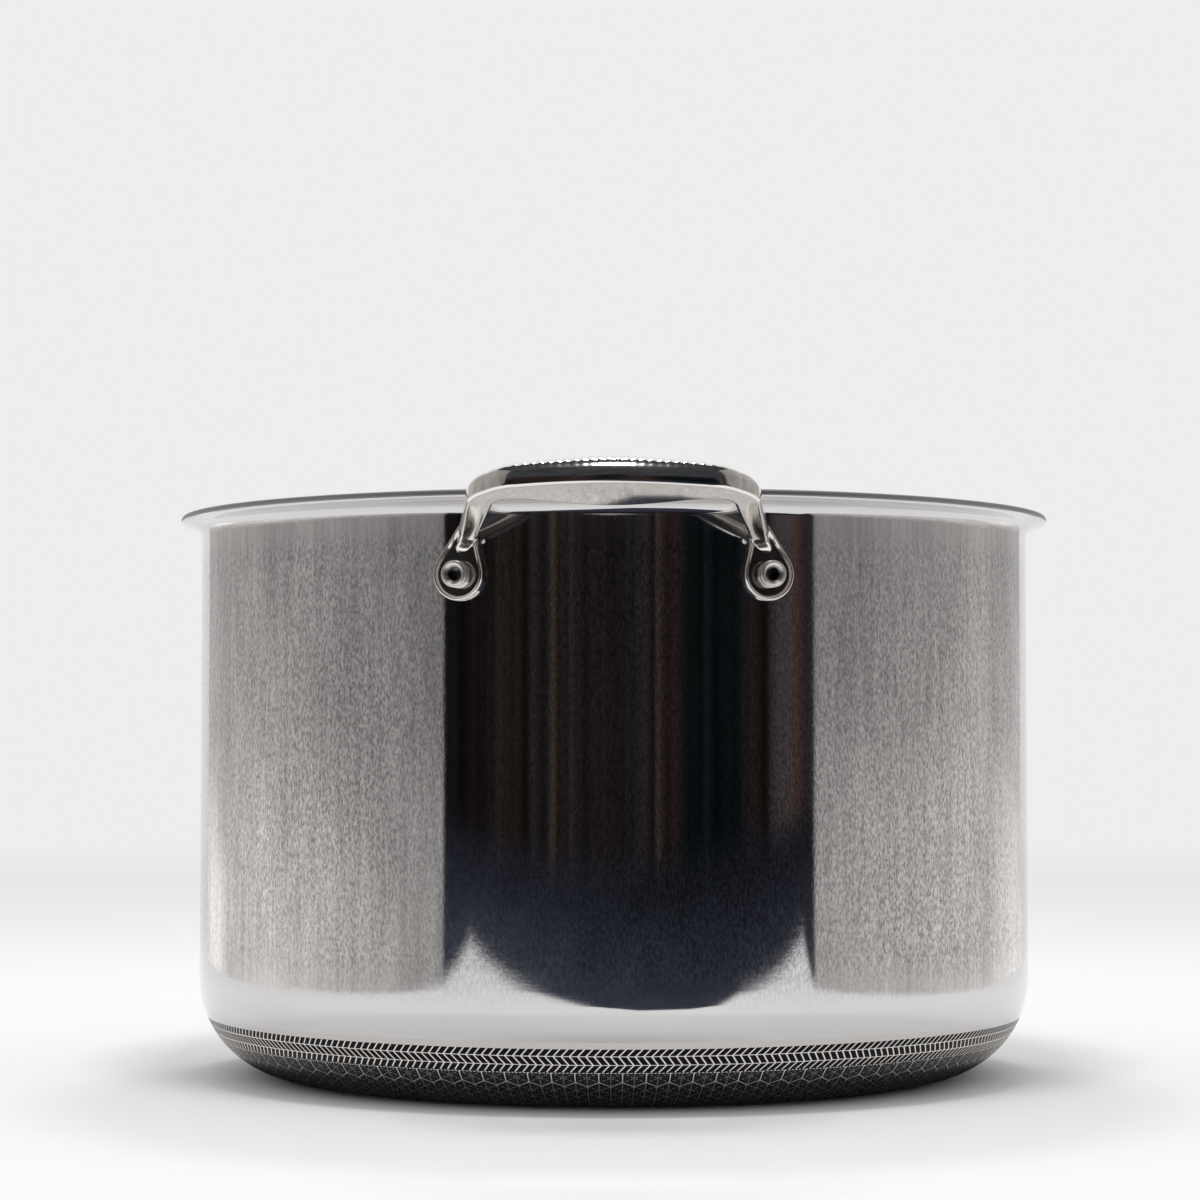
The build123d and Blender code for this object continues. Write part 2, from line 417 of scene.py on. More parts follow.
def bandLines(sheet, turn, down, hexagons):
    # slanted rows under the zone's top edge, then the lattice; down is in metres from that edge
    cells = turn * (etching["cells"] * hexagons)
    start, slant = etching["latticeStart"], etching["slant"]
    rule = (etching["ruleWidth"] / 2, etching["ruleSoft"])
    lines = repeated(sheet, cells, *etching["dash"]) * onLine(sheet, down - start, *rule)
    for row in etching["rows"][1:3]:
        lines = lines.most(onLine(sheet, down - row, *rule))
    for index, (top, bottom) in enumerate(zip(etching["rows"], etching["rows"][1:])):
        lean = (down - top) / (bottom - top) * slant
        place = cells - lean + slant if index % 2 else cells + lean
        slanted = onLine(sheet, place % 1.0 - 0.5, etching["slantWidth"] / 2, etching["slantSoft"])
        lines = lines.most(slanted * (down > top) * (down < bottom))
    across = turn * hexagons + (slant - 0.5) / etching["cells"] + 0.5
    lattice = latticeLines(sheet, across, (down - start) / etching["hexWidth"] - etching["latticeShift"])
    return lines.most(lattice * (down > start))


def etchedFinish(name, makeLines, coatRoughness, steelRoughness):
    sheet = Sheet(name)
    lines = makeLines(sheet)
    haze = sheet.unevenness((70, 70, 70), 4.0, 0.6)
    grit = sheet.unevenness((2600, 2600, 2600), 2.0, 0.7)
    coating = sheet.blend(haze, etching["coating"], dimmed(etching["coating"], etching["hazeShare"]))
    coatRough = coatRoughness + (grit - 0.5) * etching["gritSpread"]
    return sheet.surface({
        "Base Color": sheet.blend(lines, coating, etching["steel"]),
        "Metallic": lines,
        "Roughness": (1 - lines) * coatRough + lines * steelRoughness,
        "Normal": sheet.bump(lines + grit * etching["gritHeight"], etching["depth"]),
        "Specular IOR Level": etching["gloss"]})


def cornerAngle(sheet, z, radius):
    # nothing where the corner meets the wall, a quarter turn where it meets the base
    return sheet.angle(pot["cornerRadius"] - z, radius - flatRadius)


def sideBandLines(sheet):
    z, radius, turn = polarPlace(sheet)[2:]
    down = (cornerAngle(sheet, z, radius) - math.radians(pot["bandTopAngle"])) * pot["cornerRadius"]
    return bandLines(sheet, turn, down, etching["hexagonsRound"])


def flatLines(sheet):
    x, y = sheet.axes()[:2]
    return latticeLines(sheet, x / etching["hexWidth"], y / etching["hexWidth"])


def insideLines(sheet):
    z, radius, turn = polarPlace(sheet)[2:]
    corner, top = pot["cornerRadius"], insideBox[1].z
    onWall = z > corner
    onFloor = radius < flatRadius
    alongCorner = top - corner + cornerAngle(sheet, z, radius) * (corner - wall)
    down = onWall * (top - z) + (1 - onWall) * alongCorner
    wallLines = bandLines(sheet, turn, down, etching["hexagonsInside"])
    lines = onFloor * flatLines(sheet) + (1 - onFloor) * wallLines
    border = onLine(sheet, radius - flatRadius, *etching["floorBorder"])
    return lines * (1 - border) + onLine(sheet, radius - flatRadius, *etching["floorRule"])


# the clad body: three plies and three coatings, each turned as its own shell
outerSteel = brushedSteel("outerSteel", steelLook["wallRoughness"], 1.0)
innerSteel = brushedSteel("innerSteel", steelLook["insideRoughness"], steelLook["insideGrain"])
bandFinish = etchedFinish("bandCoating", sideBandLines, 0.26, 0.18)
undersideFinish = etchedFinish("undersideCoating", flatLines, 0.38, 0.3)
insideFinish = etchedFinish("insideCoating", insideLines, 0.36, 0.3)

bandStart = pot["bandEndAngle"]
bandStop = pot["bandTopAngle"]
fieldTop = coatBox[1].z
outerSide = [
    Vector((0, 0, 0)), Vector((pot["fieldInner"], 0, 0)), Vector((pot["fieldInner"], 0, fieldTop)),
    Vector((coatBox[1].x, 0, fieldTop)), Vector((coatBox[1].x, 0, 0)), Vector((flatRadius, 0, 0)),
]
outerSide += arc(lambda angle: cornerPoint(0, angle), 90, bandStart, 3)[1:]
outerSide += arc(lambda angle: cornerPoint(coat, angle), bandStart, bandStop, pot["cornerSteps"])
outerSide += arc(lambda angle: cornerPoint(0, angle), bandStop, 0, 8)
outerSide += rimSide(0, wallFoot)


def lipCap(outside, inside, steps=6):
    return [lipPoint(outside + (inside - outside) * index / steps) for index in range(1, steps)]


def bodyShell(name, profile, material, node):
    piece = lathe(name, profile, material, pot["segments"])
    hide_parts(node)


skin = pot["skin"]
bodyShell("potOuterSkin", outerSide + lipCap(0, skin) + plainSide(skin)[::-1],
          outerSteel, "outer_steel_skin")

corePlyProfile = plainSide(skin) + lipCap(skin, wall - skin) + plainSide(wall - skin)[::-1]
bodyShell("potCore", corePlyProfile, coreAluminium, "aluminium_core")

recessed = wall - coat
coatTop = insideBox[1].z
innerSide = [Vector((0, 0, recessed)), Vector((flatRadius, 0, recessed))]
innerSide += arc(lambda angle: cornerPoint(recessed, angle), 90, 0, pot["cornerSteps"])[1:]
innerSide += [Vector((outerRadius - recessed, 0, coatTop))]
innerSide += rimSide(wall, coatTop)
bodyShell("potInnerSkin", plainSide(wall - skin) + lipCap(wall - skin, wall) + innerSide[::-1],
          innerSteel, "inner_steel_skin")

bandProfile = arc(lambda angle: cornerPoint(0, angle), bandStart, bandStop, pot["coatSteps"])
bandProfile += arc(lambda angle: cornerPoint(coat, angle), bandStop, bandStart, pot["coatSteps"])
bodyShell("sideBand", bandProfile + bandProfile[:1], bandFinish, "side_band_coating")

fieldBottom = coatBox[0].z
fieldProfile = [
    Vector((pot["fieldInner"], 0, fieldBottom)), Vector((coatBox[1].x, 0, fieldBottom)),
    Vector((coatBox[1].x, 0, fieldTop)), Vector((pot["fieldInner"], 0, fieldTop))]
bodyShell("undersideField", fieldProfile + fieldProfile[:1], undersideFinish,
          "underside_coating")

insideCoat = [Vector((0, 0, wall)), Vector((flatRadius, 0, wall))]
insideCoat += arc(lambda angle: cornerPoint(wall, angle), 90, 0, pot["coatSteps"])[1:]
insideCoat += [Vector((innerRadius, 0, coatTop)), Vector((outerRadius - recessed, 0, coatTop))]
insideCoat += arc(lambda angle: cornerPoint(recessed, angle), 0, 90, pot["coatSteps"])
insideCoat += [Vector((0, 0, recessed))]
bodyShell("insideLining", insideCoat, insideFinish, "interior_coating")
print("clad body turned")


# handles: a swept grip with two legs that run down into teardrop lugs
handle = {
    "rivetAngle": 19.1,
    "rivetHeight": 150.4 * mm,
    "lugRadius": 7.4 * mm,
    "neckRadius": 2.7 * mm,
    "neckHeight": 11.8 * mm,
    "lugLean": 10.0,
    "lugThickness": 3.1 * mm,
    "lugSunk": 0.9 * mm,
    "lugRoot": 1.0 * mm,        # how deep the lug reaches into the wall
    "lugSide": 0.70 * mm,       # from its top down to where the flank starts
    "lugSteps": 28,
    "beadWidth": 1.30 * mm,
    "bead": ((0.08, 0.45), (0.2, 0.22), (0.36, 0.06), (0.52, 0.0), (0.66, 0.03), (0.84, 0.18), (1.02, 0.42),
             (1.18, 0.72)),     # place across the bead and drop below its crest, mm
    "scoop": 4.4 * mm,          # fillet between a leg's underside and its lug
    "scoopSteps": 16,
    "scoopDepth": 2.4 * mm,
    "scoopNarrowing": 0.10,     # share of the leg's width lost on the way down
    "scoopLead": 1.5 * mm,      # steps up the leg before the scoop
    "scoopTail": 0.9 * mm,      # steps down the lug after it
    "scoopSinking": 0.10 * mm,
    "tilt": 17.0,
    "foot": (41.0 * mm, -124.4 * mm, 161.4 * mm),
    "legReach": 40.6 * mm,
    "gripHalf": 35.0 * mm,
    "bend": 11.0 * mm,
    "wallReach": 1.4 * mm,      # how far the legs' ends go into the wall
    # reach of the section in mm: at the foot, grown by, bulged by
    "outwards": (2.6, 0.9, 5.39),
    "inwards": (2.6, 1.3, 5.2),
    "up": (2.9, 0.9, 2.5),
    "down": (2.9, 0.5, 0.3),
    "growthShare": 0.55,
    "topEdge": 0.46,
    "lowEdge": 1.2 * mm,
    "stations": 620,
    "ribZone": 29 * mm,
    "ribFade": 3 * mm,
    "ribPitch": 2.3 * mm,
    "ribHeight": 0.26 * mm,
    "ribFrom": (0.45, 0.3),     # share of the section's height where ribs start, and their fade
    "sharpAbove": 42.0,
}
castLook = {
    "worn": (0.84, 0.81, 0.77),
    "bright": (0.92, 0.89, 0.85),
    # painted shade: the near black deep inside a rivet's socket
    "socket": (0.05, 0.048, 0.046),
    "handleRoughness": 0.12,
    "rivetRoughness": 0.36,
    "collarRoughness": 0.26,
    "polish": (500, 160, 500),
    "polishHeight": 0.0003 * mm,
    "polishSpread": 0.05,
    "wear": (70, 70, 70),
    "wearSpread": 0.06,
}


def castSteel(name, roughness):
    # the depth attribute is 1 inside a rivet's socket, where shade is painted into the base colour, and
    # missing on the handles
    sheet = Sheet(name)
    polish = sheet.unevenness(castLook["polish"], 3.0)
    wear = sheet.unevenness(castLook["wear"], 4.0)
    depth = sheet.node("ShaderNodeAttribute", {"attribute_name": "depth"}, output="Fac")
    steel = sheet.blend(wear, castLook["worn"], castLook["bright"])
    spread = (wear - 0.5) * castLook["wearSpread"] + (polish - 0.5) * castLook["polishSpread"]
    return sheet.surface({
        "Base Color": sheet.blend(depth, steel, castLook["socket"]), "Metallic": 1.0,
        "Roughness": roughness + spread, "Normal": sheet.bump(polish, castLook["polishHeight"])})


handleSteel = castSteel("handleSteel", castLook["handleRoughness"])
rivetSteel = castSteel("rivetSteel", castLook["rivetRoughness"])
collarSteel = castSteel("collarSteel", castLook["collarRoughness"])


def unitVector(angle):
    return Vector((math.cos(angle), math.sin(angle)))


# middle line in the tilted plane: across (world X) and outwards along the tilt
def gripLine():
    footPoint = Vector((-handle["foot"][0], 0))
    corner = Vector((-handle["gripHalf"], handle["legReach"]))
    legDirection = (corner - footPoint).normalized()
    turn = math.acos(legDirection.dot(Vector((1, 0))))
    setback = handle["bend"] * math.tan(turn / 2)
    legLength = (corner - footPoint).length - setback
    gripLength = 2 * (handle["gripHalf"] - setback)
    bendLength = handle["bend"] * turn
    arcStart = corner - legDirection * setback
    arcCentre = arcStart + Vector((legDirection.y, -legDirection.x)) * handle["bend"]
    total = 2 * legLength + 2 * bendLength + gripLength

    def at(travel):
        # place and direction after some way along the line; the far half mirrors the near one
        back = travel > total / 2
        near = total - travel if back else travel
        if near <= legLength:
            point, direction = footPoint + legDirection * near, legDirection
        elif near <= legLength + bendLength:
            swept = (near - legLength) / handle["bend"]
            start = math.atan2(arcStart.y - arcCentre.y, arcStart.x - arcCentre.x)
            spoke = unitVector(start - swept)
            point, direction = arcCentre + spoke * handle["bend"], Vector((spoke.y, -spoke.x))
        else:
            point = Vector((corner.x + setback + near - legLength - bendLength, corner.y))
            direction = Vector((1, 0))
        if back:
            point, direction = Vector((-point.x, point.y)), Vector((direction.x, -direction.y))
        return point, direction
    return at, total


def ease(share):
    return (1 - math.cos(math.pi * max(0.0, min(1.0, share)))) / 2


def sectionReaches(half):
    # half is 0 at a leg's foot and 1 in the middle of the grip
    growth = ease(half / handle["growthShare"])
    share = max(0.0, (half - handle["growthShare"]) / (1 - handle["growthShare"]))
    reaches = []
    for side in ("outwards", "inwards", "up", "down"):
        first, grown, bulged = handle[side]
        bulge = ease(share) if side == "inwards" else math.sin(share * math.pi / 2)
        reaches.append((first + growth * grown + bulge * bulged) * mm)
    return reaches


def sectionRing(outwards, inwards, up, down, steps=6):
    # (inwards, up) points round a section whose underside is nearly flat
    topRound = handle["topEdge"] * min(inwards + outwards, 2 * up + down)
    low = min(handle["lowEdge"], 0.45 * (inwards + outwards))
    corners = [(inwards, up, topRound, 0), (-outwards, up, topRound, 90),
               (-outwards, -down, low, 180), (inwards, -down, low, 270)]
    ring = []
    for x, y, radius, start in corners:
        centre = Vector((x - math.copysign(radius, x), y - math.copysign(radius, y)))
        ring += [centre + unitVector(math.radians(start + 90 * index / steps)) * radius
                 for index in range(steps + 1)]
    return ring


tilt = math.radians(handle["tilt"])
planeUp = Vector((0, math.sin(tilt), math.cos(tilt)))
planeOut = Vector((0, -math.cos(tilt), math.sin(tilt)))
planeFoot = Vector((0, handle["foot"][1], handle["foot"][2]))


def seatFrame(side, hand, lean=0.0):
    # axes of a rivet seat: right, upright, outwards, and its place on the wall
    angle = math.radians(handle["rivetAngle"])
    outward = Vector((hand * math.sin(angle), side * math.cos(angle), 0))
    across = Vector((0, 0, 1)).cross(outward)
    leaning = math.radians(lean)
    upright = across * (hand * side * math.sin(leaning)) + Vector((0, 0, 1)) * math.cos(leaning)
    right = upright.cross(outward)
    seat = outward * outerRadius + Vector((0, 0, handle["rivetHeight"]))
    return Matrix((right, upright, outward)).transposed().to_4x4(), seat


def skinRings(shell, rings):
    loops = []
    for ring in rings:
        corners = [shell.verts.new(point) for point in ring]
        loops.append([shell.edges.new((first, second))
                      for first, second in zip(corners, corners[1:] + corners[:1])])
    for first, second in zip(loops, loops[1:]):
        bmesh.ops.bridge_loops(shell, edges=first + second)
    for loop in (loops[0], loops[-1]):
        bmesh.ops.contextual_create(shell, geom=loop)


def gripRings():
    at, total = gripLine()
    ribStart, ribGrow = handle["ribFrom"]
    rings = []
    for index in range(-1, handle["stations"] + 2):
        place = max(0.0, min(1.0, index / handle["stations"]))
        point, direction = at(place * total)
        along = Vector((direction.x, 0, 0)) + planeOut * direction.y
        inward = planeUp.cross(along)
        middle = planeFoot + Vector((point.x, 0, 0)) + planeOut * point.y
        if index < 0 or index > handle["stations"]:     # the ends reach into the wall
            middle -= along * math.copysign(handle["wallReach"], -index)
        outwards, inwards, up, down = sectionReaches(2 * min(place, 1 - place))
        zone = ease((handle["ribZone"] - abs(point.x)) / handle["ribFade"])
        rib = (1 - math.cos(2 * math.pi * point.x / handle["ribPitch"])) / 2
        sunk = zone * (rib - 1) * handle["ribHeight"]
        ring = []
        for spot in sectionRing(outwards, inwards, up, down):
            grooved = ease((spot.y / up - ribStart) / ribGrow) * sunk
            ring.append(middle + inward * spot.x + planeUp * (spot.y + grooved))
        rings.append(ring)
    return rings


def lugOutline(inset):
    # outline of the teardrop, shrunk by an inset
    split = math.asin((handle["lugRadius"] - handle["neckRadius"]) / handle["neckHeight"])
    big, small = handle["lugRadius"] - inset, handle["neckRadius"] - inset
    neck = Vector((0, handle["neckHeight"]))
    steps = handle["lugSteps"]
    points = arc(lambda angle: unitVector(angle) * big, math.pi - split, 2 * math.pi + split, steps)
    return points + arc(lambda angle: neck + unitVector(angle) * small, split, math.pi - split, steps)


def lugRings():
    # the side, a raised bead with steep flanks, and the sunk face
    top, sunk = handle["lugThickness"], handle["lugThickness"] - handle["lugSunk"]
    profile = [(0.0, -handle["lugRoot"]), (0.0, top - handle["lugSide"])]
    profile += [(place * mm, top - drop * mm) for place, drop in handle["bead"]]
    profile += [(handle["beadWidth"], sunk), (handle["beadWidth"] + 0.1 * mm, sunk)]
    return [[Vector((*point, height)) for point in lugOutline(inset)] for inset, height in profile]


def legRoots(hand):
    # a scooped fillet from the leg's underside down onto the lug's sunk face
    point, direction = gripLine()[0](0.0)
    along = Vector((direction.x * -hand, 0, 0)) + planeOut * direction.y
    foot = planeFoot + Vector((point.x * -hand, 0, 0)) + planeOut * point.y
    axes, seat = seatFrame(-1, hand, handle["lugLean"])
    right, upright, outward = (axes.col[index].to_3d() for index in range(3))
    outwards, inwards, down = [sectionReaches(0.0)[part] for part in (0, 1, 3)]
    scoop, steps = handle["scoop"], handle["scoopSteps"]
    face = handle["lugThickness"] - handle["lugSunk"]
    low = foot - planeUp * (down + scoop)
    centre = low + along * ((face + scoop - (low - seat).dot(outward)) / along.dot(outward))
    landing = centre - outward * scoop
    height = (landing - seat).dot(upright)
    shift = (seat + upright * height - landing).dot(right)
    legSide = along.cross(planeUp).normalized()
    legSide *= math.copysign(1, legSide.x)
    rings = []
    for index in range(-2, steps + 3):
        share = max(0.0, min(1.0, index / steps))
        before, after = max(0, -index), max(0, index - steps)
        normal = (-planeUp).slerp(outward, share)
        side = legSide.lerp(right, share).normalized()
        surface = centre - normal * scoop + right * shift * ease(share)
        surface += along * (handle["scoopLead"] * before) - upright * (handle["scoopTail"] * after)
        narrow = 1 - handle["scoopNarrowing"] * share
        sinking = handle["scoopSinking"] * after
        rings.append([surface + side * (spot.x * narrow) - normal * (spot.y + sinking)
                      for spot in sectionRing(outwards, inwards, handle["scoopDepth"], 0.0)])
    return rings


def makeHandle(name, side, node):
    shell = bmesh.new()
    skinRings(shell, gripRings())
    for hand in (-1, 1):
        axes, seat = seatFrame(-1, hand, handle["lugLean"])
        skinRings(shell, [[seat + axes @ point for point in ring] for ring in lugRings()])
        skinRings(shell, legRoots(hand))
    if side > 0:
        bmesh.ops.scale(shell, vec=(1, -1, 1), verts=shell.verts)
    piece = finishMesh(name, shell, handleSteel, handle["sharpAbove"])
    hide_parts(node)


for side, end in ((-1, "front"), (1, "rear")):
    makeHandle(end + "Handle", side, end + "_handle")
print("handles swept")


# rivets and their collars
rivet = {
    "shank": 2.5 * mm,
    "headRadius": 6.0 * mm,
    "headHeight": 1.8 * mm,
    "headEdge": 0.6 * mm,
    "headSteps": 10,
    "headSkirt": 0.3 * mm,      # how deep the head's edge goes into the wall
    "collarRadius": 3.85 * mm,
    "collarHeight": 1.7 * mm,
    "collarBevel": 0.3 * mm,
    "ringRadius": 3.75 * mm,
    "ringHeight": 1.9 * mm,
    "ringBevel": 0.35 * mm,
    "ringChamfer": 0.15 * mm,   # on the ring's lower edge
    "groove": 0.35 * mm,
    "socketRadius": 1.75 * mm,
    "socketMouth": 2.85 * mm,
    "socketTaper": 0.9 * mm,
    "socketDepth": 4.2 * mm,
    "mouthRound": (0.15 * mm, -0.05 * mm, 0.12 * mm),   # outside and inside the mouth, and down
    # painted shade: how far the socket's dark reaches
    "shade": 0.1 * mm,          # the dark of a socket reaches this far past its wall
    "segments": 96,
}
collarFoot = handle["lugThickness"] - handle["lugSunk"]
ringFoot = collarFoot + rivet["collarHeight"] + rivet["groove"]
rivetTop = ringFoot + rivet["ringHeight"]


def turned(name, profile, material, axes, seat, node):
    corners = [Vector((radius, 0, height)) for radius, height in profile]
    piece = lathe(name, corners, material, rivet["segments"])
    # depth marks the socket's points, which castSteel paints with shade
    depth = piece.data.attributes.new("depth", "FLOAT", "POINT")
    for corner, item in zip(piece.data.vertices, depth.data):
        inShadedSocket = math.hypot(corner.co.x, corner.co.y) < rivet["socketRadius"] + rivet["shade"]
        item.value = 1.0 if inShadedSocket and corner.co.z > 0 else 0.0
    piece.data.transform(Matrix.Translation(seat) @ axes)
    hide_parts(node)


def roundedCorner(radius, height, bevel):
    # from the top out and down to the side
    middle = Vector((radius - bevel, height - bevel))
    return arc(lambda angle: middle + unitVector(angle) * bevel, math.pi / 2, 0, 5)


def domePoint(angle):
    return domeRadius * math.sin(angle), domeTop + domeRadius * (1 - math.cos(angle))


domeSweep = 2 * math.atan2(rivet["headHeight"] - rivet["headEdge"], rivet["headRadius"])
domeRadius = rivet["headRadius"] / math.sin(domeSweep)
domeTop = -wall - rivet["headHeight"]
headBack = rivet["headSkirt"] - wall
mouthOut, mouthIn, mouthDown = rivet["mouthRound"]
socketFloor = rivetTop - rivet["socketDepth"]
rivetProfile = arc(domePoint, 0, domeSweep, rivet["headSteps"])
rivetProfile += [(rivet["headRadius"], headBack), (rivet["shank"], headBack), (rivet["shank"], ringFoot)]
rivetProfile += [(rivet["ringRadius"] - rivet["ringChamfer"], ringFoot),
                 (rivet["ringRadius"], ringFoot + rivet["ringChamfer"])]
rivetProfile += roundedCorner(rivet["ringRadius"], rivetTop, rivet["ringBevel"])
rivetProfile += [(rivet["socketMouth"] + mouthOut, rivetTop),
                 (rivet["socketMouth"] + mouthIn, rivetTop - mouthDown),
                 (rivet["socketRadius"], rivetTop - rivet["socketTaper"]),
                 (rivet["socketRadius"], socketFloor), (0.0, socketFloor)]
collarTop = collarFoot + rivet["collarHeight"]
collarProfile = [(rivet["shank"], collarFoot), (rivet["collarRadius"], collarFoot)]
collarProfile += roundedCorner(rivet["collarRadius"], collarTop, rivet["collarBevel"])
collarProfile += [(rivet["shank"], collarTop), (rivet["shank"], collarFoot)]

for side, end in ((-1, "front"), (1, "rear")):
    for hand, flank in ((-1, "left"), (1, "right")):
        axes, seat = seatFrame(side, hand)
        turned(end + flank.title() + "Rivet", rivetProfile, rivetSteel, axes, seat,
               f"{end}_{flank}_rivet")
        turned(end + flank.title() + "Collar", collarProfile, collarSteel, axes, seat,
               f"{end}_{flank}_collar")
print("rivets turned")


# floor, surroundings, light and camera
studio = {
    "paper": (0.85, 0.85, 0.85),
    "paperShade": 0.985,
    "paperGrain": (900, 900, 900),
    "paperFade": (0.5, 2.2),     # where the floor turns into plain light, from the axis
    "sky": (0.85, 0.85, 0.855),
    "skyStrength": 1.0,
    "lampPower": 3.3,
    "lampHeight": 1.1,
    "sideGlow": 0.42,
    "sideHeight": 0.8,
    "roomGlow": 0.034,
    "roomHeight": 2.2,
    "floorGlow": 0.075,
    "ceilingGlow": 0.05,
    "ceilingHeight": 1.3,
    "shadowRadius": 0.150,
    "shadowEdge": (116 * mm, 127 * mm),
    "shadow": (0.006, 0.005, 0.006),
    "shadowRim": (0.72, 0.69, 0.67),
}


def stageObject(name, panel, material, reflectionsOnly=True):
    mesh = bpy.data.meshes.new(name)
    panel.to_mesh(mesh)
    panel.free()
    mesh.materials.append(material)
    item = bpy.data.objects.new(name, mesh)
    bpy.context.collection.objects.link(item)
    if reflectionsOnly:
        item.visible_camera = False
        item.visible_diffuse = False
        item.visible_shadow = False
        item.visible_transmission = False
        item.visible_volume_scatter = False


def uprightPanel(name, footLine, height, material):
    panel = bmesh.new()
    foot = [panel.verts.new((x, y, 0)) for x, y in footLine]
    edges = [panel.edges.new(pair) for pair in zip(foot, foot[1:])]
    grown = bmesh.ops.extrude_edge_only(panel, edges=edges)
    raised = [item for item in grown["geom"] if isinstance(item, bmesh.types.BMVert)]
    bmesh.ops.translate(panel, verts=raised, vec=(0, 0, height))
    stageObject(name, panel, material)


def flatPanel(name, corners, height, material):
    panel = bmesh.new()
    panel.faces.new([panel.verts.new((x, y, height)) for x, y in corners])
    stageObject(name, panel, material)


def disc(name, radius, height, material, reflectionsOnly=True):
    panel = bmesh.new()
    bmesh.ops.create_circle(panel, cap_ends=True, segments=96, radius=radius)
    bmesh.ops.translate(panel, verts=panel.verts, vec=(0, 0, height))
    stageObject(name, panel, material, reflectionsOnly)


def glowing(name, makeColour, strength):
    sheet = Sheet(name)
    return sheet.finish(sheet.glow(makeColour(sheet), strength))


def roomColour(sheet):
    # a dim room: uneven upright stripes, two of them pale wood, and a cooler part on the right
    x = sheet.axes()[0]
    wide = sheet.unevenness((9, 0, 0.3), 2.0, 0.6)
    fine = sheet.unevenness((42, 0, 0.8), 2.0, 0.6)
    warm = sheet.unevenness((3.5, 0, 0.15), 1.0)
    cool = sheet.remap(x, 0.38, 0.50) * sheet.remap(x, 1.05, 0.92)
    wood = sheet.remap(abs(x + 0.394), 0.024, 0.014).most(sheet.remap(abs(x - 0.284), 0.018, 0.010))
    right = sheet.remap(x, 1.22, 1.34, 0.0, 2.0) * sheet.remap(x, 1.55, 1.70, 1.0, 0.35)
    left = sheet.remap(x, -1.0, -0.85, 0.4, 1.0)
    tint = sheet.blend(sheet.remap(warm, 0.4, 0.62), (0.62, 0.58, 0.66), (0.95, 0.62, 0.52))
    tint = sheet.blend(cool, tint, (0.36, 0.55, 0.62))
    tint = sheet.blend(wood, tint, (1.0, 0.68, 0.52))
    light = sheet.remap(wide, 0.38, 0.68, 0.25, 1.25) * sheet.remap(fine, 0.3, 0.7, 0.55, 1.4)
    plain = light * (1 - 0.45 * cool) * left + right
    return sheet.scaled(tint, plain * (1 - wood) + wood * 1.7)


def darkFloorColour(sheet):
    x, y = sheet.axes()[:2]
    marks = sheet.unevenness((7, 3, 1), 3.0, 0.6)
    near = sheet.remap(y, -1.1, -0.5, 0.35, 1.0)
    side = sheet.remap(x, -0.25, 0.30, 1.05, 0.62)
    return sheet.scaled((0.74, 0.83, 1.18), near * side * sheet.remap(marks, 0.3, 0.7, 0.75, 1.2))


def clothColour(sheet):
    y, z = sheet.axes()[1:]
    threads = sheet.unevenness((150, 150, 22), 3.0, 0.7)
    soft = sheet.unevenness((5, 5, 6))
    back = sheet.remap(y, -0.62, 0.40, 0.48, 1.60)
    low = sheet.remap(z, 0.03, 0.11, 1.55, 1.0) * sheet.remap(z, 0.12, 0.20, 1.0, 0.74)
    light = sheet.remap(threads, 0.36, 0.64, 0.82, 1.2) * sheet.remap(soft, 0.3, 0.7, 0.8, 1.2) * back * low
    return sheet.scaled((1.0, 0.97, 0.955), light)


def ceilingColour(sheet):
    patches = sheet.remap(sheet.unevenness((6, 6, 1)), 0.3, 0.7, 0.5, 1.3)
    return sheet.scaled((0.9, 0.95, 1.1), patches)


def shadowColour(sheet):
    x, y = sheet.axes()[:2]
    fromAxis = (x * x + y * y).root()
    return sheet.blend(sheet.remap(fromAxis, *studio["shadowEdge"]), studio["shadow"], studio["shadowRim"])


def paperFloor(name):
    # paper close by, and the same plain light as the surroundings far out
    sheet = Sheet(name)
    x, y = sheet.axes()[:2]
    fromAxis = (x * x + y * y).root()
    shade = dimmed(studio["paper"], studio["paperShade"])
    grain = sheet.unevenness(studio["paperGrain"], 3.0)
    paper = sheet.node("ShaderNodeBsdfDiffuse", {}, {"Color": sheet.blend(grain, shade, studio["paper"])})
    return sheet.finish(sheet.node("ShaderNodeMixShader", {}, {
        0: sheet.remap(fromAxis, *studio["paperFade"]),
        1: paper,
        2: sheet.glow(studio["sky"], studio["skyStrength"])}))


room = glowing("darkRoom", roomColour, studio["roomGlow"])
boards = glowing("darkBoards", darkFloorColour, studio["floorGlow"])
cloth = glowing("sideCloth", clothColour, studio["sideGlow"])
ceiling = glowing("dimCeiling", ceilingColour, studio["ceilingGlow"])
shadow = glowing("potShadow", shadowColour, 1.0)

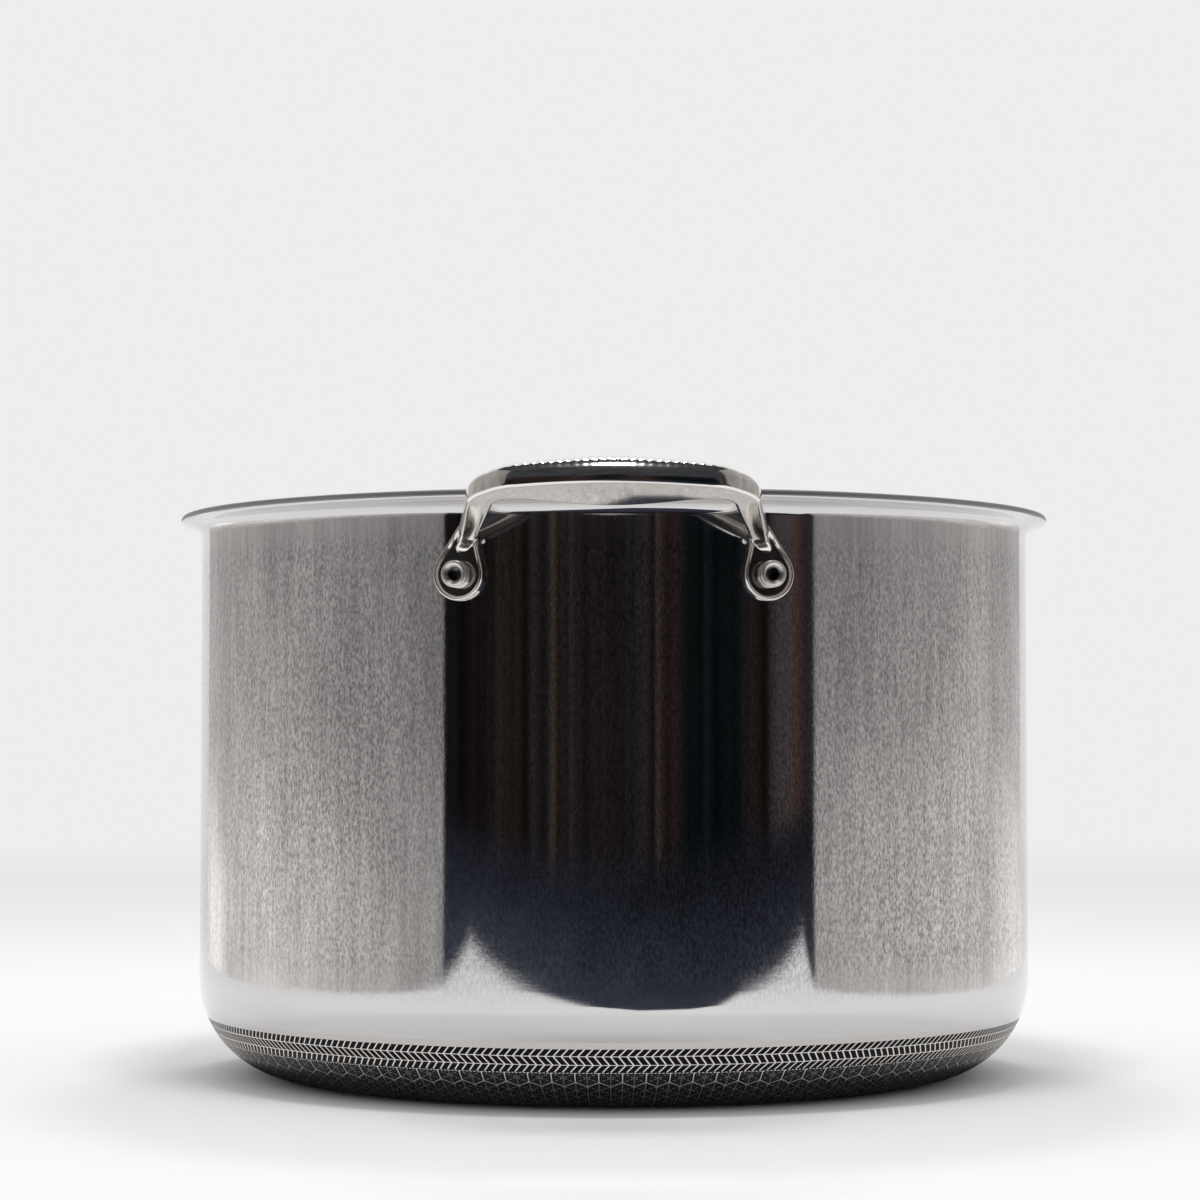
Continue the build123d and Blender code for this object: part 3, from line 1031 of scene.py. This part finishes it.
# footprints of what the steel mirrors: the far wall, the cloths and the floor's front edge
farLine = [(-1.9, -1.2), (-1.2, -1.45), (1.6, -1.45), (3.0, -0.9)]
leftFoot = [(-0.386, -0.449), (-0.391, -0.317), (-0.47, -0.07), (-0.46, 0.30), (-0.40, 0.44)]
rightFoot = [(0.417, -0.371), (0.407, -0.292), (0.43, -0.06), (0.42, 0.30), (0.37, 0.42)]
frontEdge = [leftFoot[0], (-0.474, -0.673), (-0.153, -0.506), (-0.035, -0.392), (0.026, -0.300),
             (0.086, -0.304), (0.254, -0.457), (0.419, -0.499), (0.627, -0.578), rightFoot[0]]
ceilingCorners = [(-1.3, -1.45), (1.3, -1.45), (1.3, 0.55), (-1.3, 0.55)]
uprightPanel("roomScreen", farLine, studio["roomHeight"], room)
uprightPanel("leftCloth", leftFoot, studio["sideHeight"], cloth)
uprightPanel("rightCloth", rightFoot, studio["sideHeight"], cloth)
flatPanel("darkFloor", frontEdge + farLine[::-1], 1 * mm, boards)
flatPanel("ceilingPanel", ceilingCorners, studio["ceilingHeight"], ceiling)
disc("potShadowDisc", studio["shadowRadius"], -0.05 * mm, shadow)
disc("paperFloorDisc", 40, -0.1 * mm, paperFloor("paperFloor"), reflectionsOnly=False)

world = bpy.data.worlds.new("studioWorld")
world.use_nodes = True
sky = world.node_tree.nodes["Background"]
sky.inputs[0].default_value = (*studio["sky"], 1)
sky.inputs[1].default_value = studio["skyStrength"]
bpy.context.scene.world = world


def softLamp(name, size, power, place):
    # a rectangle of light that looks at the origin
    lamp = bpy.data.lights.new(name, "AREA")
    lamp.shape = "RECTANGLE"
    lamp.size, lamp.size_y = size
    lamp.energy = power
    holder = bpy.data.objects.new(name, lamp)
    holder.location = place
    holder.rotation_euler = (-Vector(place)).to_track_quat("-Z", "Y").to_euler()
    bpy.context.collection.objects.link(holder)


softLamp("topLight", (0.18, 0.16), studio["lampPower"], (0, -0.25, studio["lampHeight"]))
softLamp("backLight", (0.18, 0.12), 0.6 * studio["lampPower"], (0, 0.45, studio["lampHeight"]))

view = {
    "lens": 95.2,
    "place": (0.0, -1.008, 0.1042),
    "pitch": 2.53,
    "turn": 0.246,
    "sensor": 36,
    "clip": (0.01, 100),
}
cameraData = bpy.data.cameras.new("camera")
cameraData.lens = view["lens"]
cameraData.sensor_width = view["sensor"]
cameraData.clip_start, cameraData.clip_end = view["clip"]
camera = bpy.data.objects.new("camera", cameraData)
camera.location = view["place"]
camera.rotation_euler = (math.radians(90 + view["pitch"]), 0, math.radians(view["turn"]))
bpy.context.collection.objects.link(camera)
bpy.context.scene.camera = camera
bpy.context.scene.view_settings.view_transform = "Standard"
print("studio ready")
